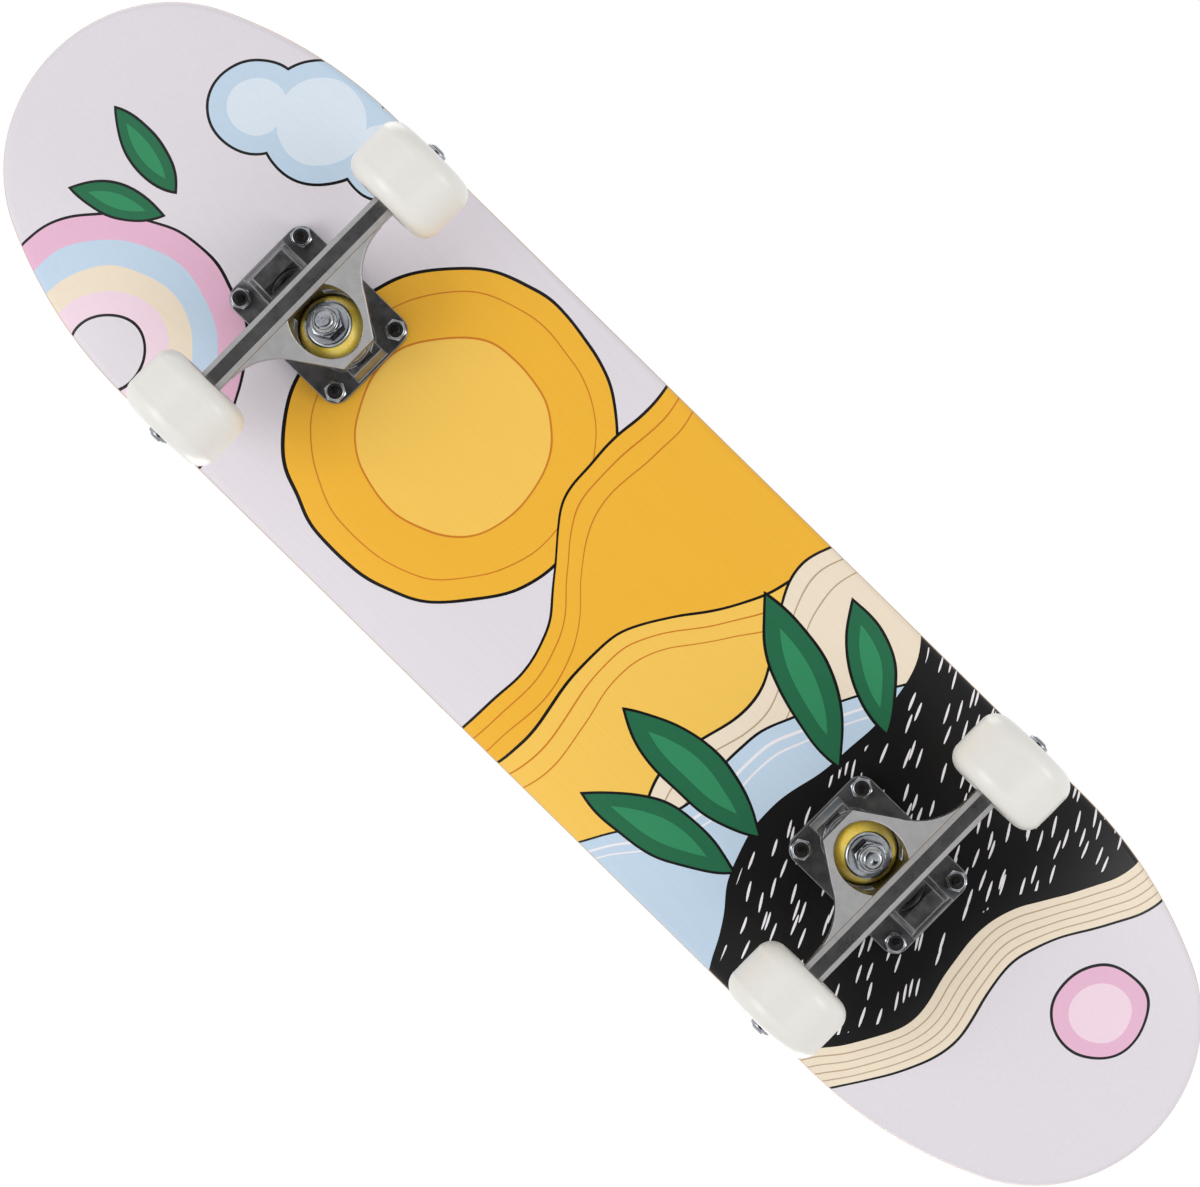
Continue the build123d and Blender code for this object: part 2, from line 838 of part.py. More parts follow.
print("axle height", axle_height, "deck underside", deck_underside, "grip top", grip_top)
print("yoke centre in the truck's frame", tuple(round(value, 3) for value in yoke_center))
print("wheel centre", wheel_center, "axle end", axle_end)
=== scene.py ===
import math
import bmesh
import bpy
import numpy as np
from mathutils import Matrix, Vector


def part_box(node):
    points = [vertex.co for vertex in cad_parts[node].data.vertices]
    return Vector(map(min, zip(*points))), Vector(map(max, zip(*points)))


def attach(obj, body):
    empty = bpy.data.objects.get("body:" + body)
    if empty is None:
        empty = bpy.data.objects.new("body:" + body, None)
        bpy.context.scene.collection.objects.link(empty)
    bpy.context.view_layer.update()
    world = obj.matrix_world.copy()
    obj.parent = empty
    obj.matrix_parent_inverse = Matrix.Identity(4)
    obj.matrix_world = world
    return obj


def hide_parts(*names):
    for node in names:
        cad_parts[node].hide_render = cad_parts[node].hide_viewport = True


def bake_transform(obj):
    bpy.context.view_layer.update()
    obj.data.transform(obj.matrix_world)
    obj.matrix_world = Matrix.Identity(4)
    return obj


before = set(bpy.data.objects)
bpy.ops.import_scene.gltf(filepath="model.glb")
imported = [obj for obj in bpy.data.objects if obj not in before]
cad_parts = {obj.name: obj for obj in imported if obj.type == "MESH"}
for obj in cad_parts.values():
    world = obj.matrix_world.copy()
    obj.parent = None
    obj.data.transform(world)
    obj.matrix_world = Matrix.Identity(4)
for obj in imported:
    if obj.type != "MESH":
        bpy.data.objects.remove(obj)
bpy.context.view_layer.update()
mm = 0.001
trucks = {"front": 1, "rear": -1}  # which way along X each truck faces
sides = {"left": 1, "right": -1}  # which way along Y each wheel lies


# the low and high corners of a node's box, in mm
def boxCorners(node):
    return [np.array(corner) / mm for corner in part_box(node)]


# sRGB hex to linear colour
def linear(hexColour):
    srgb = np.array([int(hexColour[i:i + 2], 16) for i in (1, 3, 5)]) / 255
    rgb = np.where(srgb <= 0.04045, srgb / 12.92, ((srgb + 0.055) / 1.055) ** 2.4)
    return (*rgb.tolist(), 1.0)


# adds one node: lower-case settings are the node's own fields, the others are socket values
def addNode(tree, kind, settings=None, links=None):
    node = tree.nodes.new("ShaderNode" + kind)
    for name, value in (settings or {}).items():
        if isinstance(name, str) and name.islower():
            setattr(node, name, value)
        else:
            node.inputs[name].default_value = value
    for name, source in (links or {}).items():
        tree.links.new(source, node.inputs[name])
    return node


def newMaterial(name):
    material = bpy.data.materials.new(name)
    material.use_nodes = True
    tree = material.node_tree
    return material, tree, tree.nodes["Principled BSDF"]


# a finish whose colour and roughness drift between two values with one noise,
# and whose bump follows a finer noise; grain sizes and relief are in mm
def grainedFinish(name, look):
    material, tree, shader = newMaterial(name)
    place = addNode(tree, "TexCoord").outputs["Object"]
    drift = addNode(tree, "TexNoise", {"Scale": 1 / (look["drift"] * mm), "Detail": 3.0}, {"Vector": place})
    grain = addNode(tree, "TexNoise", {"Scale": 1 / (look["grain"] * mm), "Detail": 4.0}, {"Vector": place})
    both = addNode(tree, "Mix", {0: 0.4}, {2: drift.outputs["Fac"], 3: grain.outputs["Fac"]})
    spread = addNode(tree, "MapRange", {"From Min": 0.36, "From Max": 0.64}, {"Value": both.outputs[0]})
    tint = addNode(tree, "Mix", {"data_type": "RGBA", 6: linear(look["dark"]), 7: linear(look["light"])},
                   {0: spread.outputs[0]})
    rough = addNode(tree, "MapRange", {"To Min": look["rough"][0], "To Max": look["rough"][1]},
                    {"Value": spread.outputs[0]})
    bump = addNode(tree, "Bump", {"Strength": look["bump"], "Distance": look["relief"] * mm},
                   {"Height": grain.outputs["Fac"]})
    if "roundEdge" in look:  # edges catch the light as if rounded by this much
        edge = addNode(tree, "Bevel", {"samples": 8, "Radius": look["roundEdge"] * mm})
        tree.links.new(edge.outputs[0], bump.inputs["Normal"])
    tree.links.new(tint.outputs[2], shader.inputs["Base Color"])
    tree.links.new(rough.outputs[0], shader.inputs["Roughness"])
    tree.links.new(bump.outputs[0], shader.inputs["Normal"])
    for socket, value in look.get("shader", {}).items():
        shader.inputs[socket].default_value = value
    return material


# cast aluminium, tumbled: fine sandy skin, dull grey with bright, worn edges
castHangerLook = {"light": "#A9A8A8", "dark": "#9D9C9C", "drift": 6, "grain": 0.8, "rough": (0.27, 0.31),
                  "bump": 0.06, "relief": 0.05, "roundEdge": 0.6, "shader": {"Metallic": 1.0}}
# the same alloy left as it came from the die: darker and coarser
castPlateLook = {"light": "#929293", "dark": "#7E7E80", "drift": 5, "grain": 0.9, "rough": (0.28, 0.38),
                 "bump": 0.4, "relief": 0.08, "shader": {"Metallic": 1.0}}
# zinc plated steel: bright, a little blue, with small dull patches
zincLook = {"light": "#A9ACB0", "dark": "#84888D", "drift": 3, "grain": 0.5, "rough": (0.14, 0.24),
            "bump": 0.1, "relief": 0.03, "shader": {"Metallic": 1.0}}
# black oxide steel: nearly black, satin, slightly brown where it is rubbed
blackSteelLook = {"light": "#2E2B2A", "dark": "#161516", "drift": 2, "grain": 0.4, "rough": (0.30, 0.46),
                  "bump": 0.15, "relief": 0.05, "shader": {"Metallic": 0.7}}
# ground bearing steel: clear mirror grey with fine haze
bearingLook = {"light": "#CFCFCC", "dark": "#A9A9A7", "drift": 4, "grain": 0.3, "rough": (0.14, 0.24),
               "bump": 0.05, "relief": 0.02, "shader": {"Metallic": 1.0}}
# stamped steel shield with a phosphate coat: dark grey and dull
shieldLook = {"light": "#5C5B58", "dark": "#3B3A39", "drift": 4, "grain": 0.6, "rough": (0.34, 0.48),
              "bump": 0.15, "relief": 0.04, "shader": {"Metallic": 0.9}}
# cast polyurethane, off-white: smooth and softly glossy, almost without grain
wheelLook = {"light": "#E9E7E2", "dark": "#E7E4DE", "drift": 30, "grain": 3, "rough": (0.29, 0.31),
             "bump": 0.01, "relief": 0.01, "shader": {"IOR": 1.5}}
# cast polyurethane, yellow and half clear: deep where thick, pale where thin
bushingLook = {"light": "#FBE27A", "dark": "#F2CF4E", "drift": 12, "grain": 1.2, "rough": (0.22, 0.36),
               "bump": 0.1, "relief": 0.06,
               "shader": {"Subsurface Weight": 0.6, "Subsurface Radius": (1.0, 0.7, 0.15),
                          "Subsurface Scale": 0.004, "IOR": 1.5}}
# moulded black nylon: satin, with a faint orange peel
nylonLook = {"light": "#232224", "dark": "#141415", "drift": 5, "grain": 0.8, "rough": (0.42, 0.56),
             "bump": 0.2, "relief": 0.06, "shader": {"IOR": 1.53}}
# undyed moulded nylon, in the ball cages and the kingpin nuts: milky and satin
paleNylonLook = {"light": "#E5E1D2", "dark": "#D3CDBB", "drift": 5, "grain": 0.8, "rough": (0.36, 0.5),
                 "bump": 0.15, "relief": 0.05, "shader": {"IOR": 1.53}}

looks = {
    "castHangerAluminium": castHangerLook, "castBaseplateAluminium": castPlateLook,
    "zincPlatedSteel": zincLook, "blackOxideSteel": blackSteelLook, "groundBearingSteel": bearingLook,
    "phosphatedShieldSteel": shieldLook, "whiteCastUrethane": wheelLook,
    "yellowCastUrethane": bushingLook, "mouldedBlackNylon": nylonLook, "undyedNylon": paleNylonLook,
}
finishes = {name: grainedFinish(name, look) for name, look in looks.items()}


# maple veneers glued crosswise, sanded through at the edge: seven stripes by depth,
# pale where the grain runs along the board and browner where it runs across; lengths in mm
maple = {"plies": 7, "long": "#DDBE92", "cross": "#B98D5D", "grainLength": 28, "grainWidth": 0.7,
         "bump": 0.25, "relief": 0.1, "rough": (0.42, 0.6)}


def makeMaple():
    material, tree, shader = newMaterial("sandedMaplePlies")
    place = addNode(tree, "TexCoord").outputs["Object"]
    alongGrain, acrossGrain = 1 / (maple["grainLength"] * mm), 1 / (maple["grainWidth"] * mm)
    along = addNode(tree, "Mapping", {"Scale": (alongGrain, acrossGrain, acrossGrain)}, {"Vector": place})
    fibre = addNode(tree, "TexNoise", {"Scale": 1.0, "Detail": 4.0}, {"Vector": along.outputs[0]})
    depth = addNode(tree, "Attribute", {"attribute_name": "plyDepth"})
    layer = addNode(tree, "Math", {"operation": "MULTIPLY", 1: maple["plies"] / 2}, {0: depth.outputs["Fac"]})
    part = addNode(tree, "Math", {"operation": "FRACT"}, {0: layer.outputs[0]})
    crosswise = addNode(tree, "Math", {"operation": "GREATER_THAN", 1: 0.5}, {0: part.outputs[0]})
    ply = addNode(tree, "Mix", {"data_type": "RGBA", 6: linear(maple["long"]), 7: linear(maple["cross"])},
                  {0: crosswise.outputs[0]})
    shade = addNode(tree, "MapRange", {"From Min": 0.3, "From Max": 0.7, "To Min": 0.86, "To Max": 1.06},
                    {"Value": fibre.outputs["Fac"]})
    wood = addNode(tree, "VectorMath", {"operation": "SCALE"}, {0: ply.outputs[2], "Scale": shade.outputs[0]})
    bump = addNode(tree, "Bump", {"Strength": maple["bump"], "Distance": maple["relief"] * mm},
                   {"Height": fibre.outputs["Fac"]})
    rough = addNode(tree, "MapRange", {"To Min": maple["rough"][0], "To Max": maple["rough"][1]},
                    {"Value": fibre.outputs["Fac"]})
    tree.links.new(wood.outputs[0], shader.inputs["Base Color"])
    tree.links.new(rough.outputs[0], shader.inputs["Roughness"])
    tree.links.new(bump.outputs[0], shader.inputs["Normal"])
    return material


# silicon carbide grit in black resin: matt black, each grain a dim sparkle;
# real grit is 0.2 mm, drawn at 0.55 mm so that it still shows in a render of the whole board
grit = {"grain": 0.55, "patch": 35, "dark": "#0E0E0F", "light": "#313133", "bump": 0.7, "relief": 0.25,
        "rough": (0.95, 0.5)}


def makeGrit():
    material, tree, shader = newMaterial("siliconCarbideGrip")
    place = addNode(tree, "TexCoord").outputs["Object"]
    cells = addNode(tree, "TexVoronoi", {"Scale": 1 / (grit["grain"] * mm)}, {"Vector": place})
    patch = addNode(tree, "TexNoise", {"Scale": 1 / (grit["patch"] * mm), "Detail": 3.0}, {"Vector": place})
    lightness = addNode(tree, "SeparateColor", {}, {"Color": cells.outputs["Color"]})
    power = addNode(tree, "Math", {"operation": "POWER", 1: 3.0}, {0: lightness.outputs[0]})
    worn = addNode(tree, "Math", {"operation": "MULTIPLY"}, {0: power.outputs[0], 1: patch.outputs["Fac"]})
    tint = addNode(tree, "Mix", {"data_type": "RGBA", 6: linear(grit["dark"]), 7: linear(grit["light"])},
                   {0: worn.outputs[0]})
    rough = addNode(tree, "MapRange", {"To Min": grit["rough"][0], "To Max": grit["rough"][1]},
                    {"Value": lightness.outputs[1]})
    bump = addNode(tree, "Bump", {"invert": True, "Strength": grit["bump"], "Distance": grit["relief"] * mm},
                   {"Height": cells.outputs["Distance"]})
    tree.links.new(tint.outputs[2], shader.inputs["Base Color"])
    tree.links.new(rough.outputs[0], shader.inputs["Roughness"])
    tree.links.new(bump.outputs[0], shader.inputs["Normal"])
    return material


# the print on the underside: flat screen inks under clear lacquer, so even colour with a satin sheen,
# drawn from plain shapes in mm on the board
inks = {"ground": "#E3DDE4", "black": "#0B0909", "sun": "#F4B733", "sunLight": "#F8C858", "orange": "#D07C1C",
        "cream": "#F1E2CB", "beige": "#BCA58A", "blue": "#C4D9EC", "paleBlue": "#DEE9F4", "pink": "#EAB9D3",
        "palePink": "#F4D9E6", "green": "#1E6B47", "leafLight": "#2F8C5E", "white": "#F3EEF2"}


# lays one ink layer over another, or over the bare ground: the field in mm is read against stops,
# each an ink from that value on, or None for no ink
def layInk(tree, under, field, stops):
    low, high = stops[0][0] - 1, stops[-1][0] + 1
    value = addNode(tree, "MapRange", {"From Min": low, "From Max": high}, {"Value": field})
    ramp = addNode(tree, "ValToRGB", {}, {"Fac": value.outputs[0]})
    ramp.color_ramp.interpolation = "CONSTANT"
    marks = [(0.0, None)] if stops[0][1] is not None else []
    marks += [((at - low) / (high - low), ink) for at, ink in stops]
    for i, (at, ink) in enumerate(marks):
        stop = ramp.color_ramp.elements[i] if i < 2 else ramp.color_ramp.elements.new(at)
        stop.position = at
        stop.color = linear(inks[ink]) if ink else (0, 0, 0, 0)
    laid = addNode(tree, "Mix", {"data_type": "RGBA", 6: linear(inks["ground"])},
                   {0: ramp.outputs["Alpha"], 7: ramp.outputs["Color"]})
    if under:
        tree.links.new(under, laid.inputs[6])
    return laid.outputs[2]


# distance from a point
def discField(tree, place, centre):
    away = addNode(tree, "VectorMath", {"operation": "DISTANCE", 1: (*centre, 0)}, {0: place})
    return away.outputs["Value"]


# lens of two arcs from base to tip: the larger distance from the two arc centres, less their radius
def leafField(tree, place, base, tip, halfWidth):
    base, tip = np.array(base), np.array(tip)
    chord = np.linalg.norm(tip - base)
    radius = (chord ** 2 / 4 + halfWidth ** 2) / (2 * halfWidth)
    across = np.array([base[1] - tip[1], tip[0] - base[0]]) / chord * (radius - halfWidth)
    ends = [discField(tree, place, (base + tip) / 2 + way * across) for way in (1, -1)]
    far = addNode(tree, "Math", {"operation": "MAXIMUM"}, dict(enumerate(ends)))
    return addNode(tree, "Math", {"operation": "SUBTRACT", 1: radius}, {0: far.outputs[0]}).outputs[0]


# how far a point lies beyond a wavy line across the board, towards the tail
def waveField(tree, x, y, at, slope, swing, length, shift):
    phase = addNode(tree, "Math", {"operation": "MULTIPLY_ADD", 1: 2 * math.pi / length, 2: shift}, {0: y})
    wave = addNode(tree, "Math", {"operation": "SINE"}, {0: phase.outputs[0]})
    edge = addNode(tree, "Math", {"operation": "MULTIPLY_ADD", 1: swing, 2: at}, {0: wave.outputs[0]})
    tilted = addNode(tree, "Math", {"operation": "MULTIPLY_ADD", 1: slope}, {0: y, 2: edge.outputs[0]})
    return addNode(tree, "Math", {"operation": "SUBTRACT"}, {0: tilted.outputs[0], 1: x}).outputs[0]


outline = 1.5  # width of the drawn black line
lacquer = {"grainSpread": 1.6, "bump": 0.12, "relief": 0.08, "rough": (0.34, 0.46), "gloss": 0.3}
design = {
    "scale": 0.94,  # of all sizes here
    "wobble": (5, 55),  # how far and over what length the drawn lines wander
    "arcs": {"centre": (268, -92),
             "rings": [(20, "palePink"), (33, "cream"), (46, "blue"), (59, "pink"), (73, None)]},
    "cloud": [((303, 54), 24), ((272, 72), 33), ((236, 84), 25)],
    "sun": {"centre": (112, 4), "radius": 84, "inner": 50},
    # wavy lines: place along the board, slope, swing, wave length and shift
    "dunes": [(30, 0.32, 11, 150, 0.4, "sun"), (-34, -0.25, 13, 170, 2.0, "sunLight"),
              (-86, 0.18, 9, 120, 4.0, "cream")],
    "stream": (-112, -0.3, 8, 140, 1.0),
    "night": (-146, 0.22, 14, 190, 2.6),
    "nightEnd": (-262, -0.2, 10, 130, 0.6),
    # base, tip and half width
    "leaves": [((-150, -52), (-62, -80), 14), ((-146, -30), (-48, -34), 15), ((-150, 24), (-58, 58), 15),
               ((-156, 50), (-92, 88), 12), ((296, -18), (346, -44), 10), ((300, -6), (356, 2), 10)],
    "fleck": (32, 3.8, 1.1),  # spacing along and across the strokes, and their slant
    "rows": 26,  # depth of the lined band after the night hill
    "tailDisc": ((-334, 26), 24),
}


def makePrint():
    material, tree, shader = newMaterial("lacqueredScreenPrint")
    place = addNode(tree, "TexCoord").outputs["Object"]
    units = 1 / (design["scale"] * mm)
    flat = addNode(tree, "VectorMath", {"operation": "MULTIPLY", 1: (units, units, 0)}, {0: place}).outputs[0]
    reach, over = design["wobble"]
    noise = addNode(tree, "TexNoise", {"Scale": 1 / over, "Detail": 1.0}, {"Vector": flat})
    shift = addNode(tree, "VectorMath", {"operation": "SUBTRACT", 1: (0.5, 0.5, 0.5)},
                    {0: noise.outputs["Color"]})
    moved = addNode(tree, "VectorMath", {"operation": "MULTIPLY_ADD", 1: (2 * reach, 2 * reach, 0)},
                    {0: shift.outputs[0], 2: flat}).outputs[0]
    split = addNode(tree, "SeparateXYZ", {}, {0: moved})
    x, y = split.outputs[0], split.outputs[1]

    rings = design["arcs"]["rings"]
    inner, outer = rings[0][0], rings[-1][0]
    stops = [(inner - outline, "black"), *rings[:-1], (outer, "black"), (outer + outline, None)]
    colour = layInk(tree, None, discField(tree, moved, design["arcs"]["centre"]), stops)
    puffs = []
    for centre, radius in design["cloud"]:
        away = discField(tree, moved, centre)
        puffs.append(addNode(tree, "Math", {"operation": "SUBTRACT", 1: radius}, {0: away}).outputs[0])
    cloud = puffs[0]
    for puff in puffs[1:]:
        cloud = addNode(tree, "Math", {"operation": "MINIMUM"}, {0: cloud, 1: puff}).outputs[0]
    colour = layInk(tree, colour, cloud, [(-60, "paleBlue"), (-9, "blue"), (0, "black"), (outline, None)])

    sun = design["sun"]
    colour = layInk(tree, colour, discField(tree, moved, sun["centre"]),
                    [(-1, "sunLight"), (sun["inner"], "orange"), (sun["inner"] + 1, "sun"),
                     (sun["radius"] - 12, "orange"), (sun["radius"] - 11.2, "sun"),
                     (sun["radius"], "black"), (sun["radius"] + outline, None)])
    for at, slope, swing, length, phase, ink in design["dunes"]:
        line = "beige" if ink == "cream" else "orange"
        colour = layInk(tree, colour, waveField(tree, x, y, at, slope, swing, length, phase),
                        [(0, "black"), (outline, ink), (9, line), (9.8, ink), (19, line), (19.7, ink)])
    colour = layInk(tree, colour, waveField(tree, x, y, *design["stream"]),
                    [(0, "black"), (outline, "blue"), (8, "white"), (9.5, "blue"), (14, "white"),
                     (15, "blue")])

    night = waveField(tree, x, y, *design["night"])
    ending = waveField(tree, x, y, *design["nightEnd"])
    band = addNode(tree, "Math", {"operation": "MULTIPLY", 1: -1.0}, {0: ending}).outputs[0]
    inside = addNode(tree, "Math", {"operation": "MINIMUM"}, {0: night, 1: band}).outputs[0]
    colour = layInk(tree, colour, inside, [(0, "black")])
    # flecks: stretched cells, white where close to a cell's point and well inside the black
    length, width, slant = design["fleck"]
    laid = addNode(tree, "Mapping", {"vector_type": "TEXTURE", "Rotation": (0, 0, slant),
                                     "Scale": (length, width, 1)}, {0: moved})
    cells = addNode(tree, "TexVoronoi", {"voronoi_dimensions": "2D", "Scale": 1.0, "Randomness": 1.0},
                    {"Vector": laid.outputs[0]})
    close = addNode(tree, "MapRange", {"From Min": 0.16, "From Max": 0.0, "To Max": 10.0},
                    {"Value": cells.outputs["Distance"]})
    deep = addNode(tree, "Math", {"operation": "SUBTRACT", 1: 5.0}, {0: inside})
    fleck = addNode(tree, "Math", {"operation": "MINIMUM"}, {0: close.outputs[0], 1: deep.outputs[0]})
    colour = layInk(tree, colour, fleck.outputs[0], [(0.02, "white")])

    # lined band between the night hill and the bare tail
    lines = [(-0.6, "black"), (outline, "cream")]  # starts inside the hill, so that no gap shows
    rows = design["rows"]
    for at in range(6, rows - 2, 5):
        lines += [(at, "beige"), (at + 0.8, "cream")]
    colour = layInk(tree, colour, ending, lines + [(rows, "black"), (rows + outline, "ground")])
    centre, radius = design["tailDisc"]
    colour = layInk(tree, colour, discField(tree, moved, centre),
                    [(-1, "palePink"), (radius - 8, "pink"), (radius, "black"), (radius + outline, None)])
    for base, tip, halfWidth in design["leaves"]:
        leaf = leafField(tree, moved, base, tip, halfWidth)
        colour = layInk(tree, colour, leaf, [(-60, "leafLight"), (-halfWidth * 0.62, "green"),
                                             (-outline, "black"), (0, None)])

    # clear lacquer over veneer: a faint grain along the board, a little uneven gloss
    alongGrain, acrossGrain = maple["grainLength"] * mm, maple["grainWidth"] * lacquer["grainSpread"] * mm
    along = addNode(tree, "Mapping", {"Scale": (1 / alongGrain, 1 / acrossGrain, 1 / mm)}, {"Vector": place})
    fibre = addNode(tree, "TexNoise", {"Scale": 1.0, "Detail": 3.0}, {"Vector": along.outputs[0]})
    fade = addNode(tree, "MapRange", {"From Min": 0.25, "From Max": 0.75, "To Min": 0.975, "To Max": 1.015},
                   {"Value": fibre.outputs["Fac"]})
    shaded = addNode(tree, "VectorMath", {"operation": "SCALE"}, {0: colour, "Scale": fade.outputs[0]})
    rough = addNode(tree, "MapRange", {"To Min": lacquer["rough"][0], "To Max": lacquer["rough"][1]},
                    {"Value": fibre.outputs["Fac"]})
    bump = addNode(tree, "Bump", {"Strength": lacquer["bump"], "Distance": lacquer["relief"] * mm},
                   {"Height": fibre.outputs["Fac"]})
    shader.inputs["Specular IOR Level"].default_value = lacquer["gloss"]
    tree.links.new(shaded.outputs[0], shader.inputs["Base Color"])
    tree.links.new(rough.outputs[0], shader.inputs["Roughness"])
    tree.links.new(bump.outputs[0], shader.inputs["Normal"])
    return material


finishes["sandedMaplePlies"] = makeMaple()
finishes["siliconCarbideGrip"] = makeGrit()
finishes["lacqueredScreenPrint"] = makePrint()
print("materials:", len(finishes))


# puts one or more point grids (rows, columns, xyz in mm) into one mesh of quads; the columns run round and
# meet, seams and poles are closed, the faces are turned outwards and edges sharper than an angle are marked;
# marks gives a material number per row of quads, attribute a name and a value per point
def makePiece(name, grids, materialNames, sharpAngle=38, marks=None, attribute=None):
    points, quads, slots, values = [], [], [], []
    start = 0
    for number, grid in enumerate(grids):
        rows, columns = grid.shape[:2]
        index = start + np.arange(rows * columns).reshape(rows, columns)
        index = np.hstack([index, index[:, :1]])
        a, b, c, d = index[:-1, :-1], index[:-1, 1:], index[1:, 1:], index[1:, :-1]
        quads.append(np.stack([a, b, c, d], -1).reshape(-1, 4))
        rowSlots = np.zeros(rows - 1, int) if marks is None else np.asarray(marks[number])
        slots.append(np.repeat(rowSlots, a.shape[1]))
        points.append(grid.reshape(-1, 3) * mm)
        if attribute is not None:
            values.append(attribute[1][number].reshape(-1))
        start += rows * columns
    mesh = bpy.data.meshes.new(name)
    mesh.from_pydata(np.vstack(points), [], np.vstack(quads))
    mesh.polygons.foreach_set("material_index", np.concatenate(slots).astype(np.int32))
    if attribute is not None:
        field = mesh.attributes.new(attribute[0], "FLOAT", "POINT")
        field.data.foreach_set("value", np.concatenate(values).astype(np.float32))
    work = bmesh.new()
    work.from_mesh(mesh)
    bmesh.ops.remove_doubles(work, verts=work.verts, dist=1e-7)
    bmesh.ops.dissolve_degenerate(work, edges=work.edges, dist=1e-8)
    bmesh.ops.recalc_face_normals(work, faces=work.faces)
    work.to_mesh(mesh)
    work.free()
    mesh.shade_smooth()
    mesh.set_sharp_from_angle(angle=math.radians(sharpAngle))
    piece = bpy.data.objects.new(name, mesh)
    bpy.context.scene.collection.objects.link(piece)
    for materialName in materialNames:
        mesh.materials.append(finishes[materialName])
    return piece


# a copy of a solid's mesh with its triangles merged and its edges rounded, as casting and tumbling leave
# them; clamped, the roundings never cross, but one short edge thins them all
def softenedCopy(name, node, materialName, edge, clamp=True):
    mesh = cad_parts[node].data.copy()
    mesh.name = name
    work = bmesh.new()
    work.from_mesh(mesh)
    bmesh.ops.remove_doubles(work, verts=work.verts, dist=2e-6)
    bmesh.ops.dissolve_limit(work, angle_limit=math.radians(0.6), verts=work.verts, edges=work.edges)
    work.to_mesh(mesh)
    work.free()
    mesh.shade_smooth()
    sharp = math.radians(32)
    mesh.set_sharp_from_angle(angle=sharp)
    mesh.materials.clear()
    mesh.materials.append(finishes[materialName])
    piece = bpy.data.objects.new(name, mesh)
    bpy.context.scene.collection.objects.link(piece)
    if edge:
        bevel = piece.modifiers.new("roundedEdges", "BEVEL")
        bevel.width = edge * mm
        bevel.segments = 2
        bevel.limit_method = "ANGLE"
        bevel.angle_limit = sharp
        bevel.harden_normals = True
        bevel.use_clamp_overlap = clamp
        bevel.loop_slide = clamp
    return piece


# fixes a piece to its body and hides the nodes it stands in for
def settle(piece, body, slotName, *nodes):
    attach(piece, body)
    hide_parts(*nodes)


# the deck, in mm: straight sides, then a side arc tangent to the round tip; kicks bend up, sides curl up
deck = {"straightSide": 464, "tipRadius": 80, "kickSpacing": 470, "kickAngle": 20, "kickBend": 150,
        "concaveFlat": 76, "concaveRadius": 235, "edgeRadius": 3, "thickness": 11}
deckLow, deckHigh = boxCorners("deck")
deckLength, deckWidth = (deckHigh - deckLow)[:2]
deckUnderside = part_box("front_baseplate")[1].z / mm
# the bends lie evenly about the middle between the two trucks
bendMiddle = (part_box("front_baseplate")[0].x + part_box("rear_baseplate")[1].x) / 2 / mm


# a quarter of the outline, from mid side to tip, mirrored twice into one closed loop of plan points
def deckOutline():
    halfWidth, halfSide = deckWidth / 2, deck["straightSide"] / 2
    tip, tipX = deck["tipRadius"], deckLength / 2 - deck["tipRadius"]
    reach = tipX - halfSide
    sideRadius = (reach ** 2 + halfWidth ** 2 - tip ** 2) / (2 * (halfWidth - tip))
    meet = math.acos(reach / (sideRadius - tip))
    straight = np.stack([np.linspace(0, halfSide, 40), np.full(40, halfWidth)], -1)
    sideTurn = np.linspace(math.pi / 2, meet, 26)[1:]
    side = np.stack([halfSide + sideRadius * np.cos(sideTurn),
                     halfWidth - sideRadius + sideRadius * np.sin(sideTurn)], -1)
    tipTurn = np.linspace(meet, 0, 44)[1:]
    end = np.stack([tipX + tip * np.cos(tipTurn), tip * np.sin(tipTurn)], -1)
    quarter = np.vstack([straight, side, end])
    half = np.vstack([quarter, quarter[-2::-1] * [1, -1]])
    return np.vstack([half, half[-2:0:-1] * [-1, 1]])


# height of the sheet that lies a given depth above the underside: the section curls up on an arc beyond its
# flat middle, and beyond each kick line it turns about an axis across the board, then runs straight
def boardHeight(x, y, depth):
    beyond = np.maximum(np.abs(y) - deck["concaveFlat"] / 2, 0)
    curl = deck["concaveRadius"] - np.sqrt((deck["concaveRadius"] - depth) ** 2 - beyond ** 2)
    axisHeight = deck["thickness"] + deck["kickBend"]
    radius = axisHeight - curl
    angle = math.radians(deck["kickAngle"])
    past = np.maximum(np.abs(x - bendMiddle) - deck["kickSpacing"] / 2, 0)
    bendReach = radius * math.sin(angle)
    bent = axisHeight - np.sqrt(np.maximum(radius ** 2 - np.minimum(past, bendReach) ** 2, 0))
    return deckUnderside + bent + np.maximum(past - bendReach, 0) * math.tan(angle)


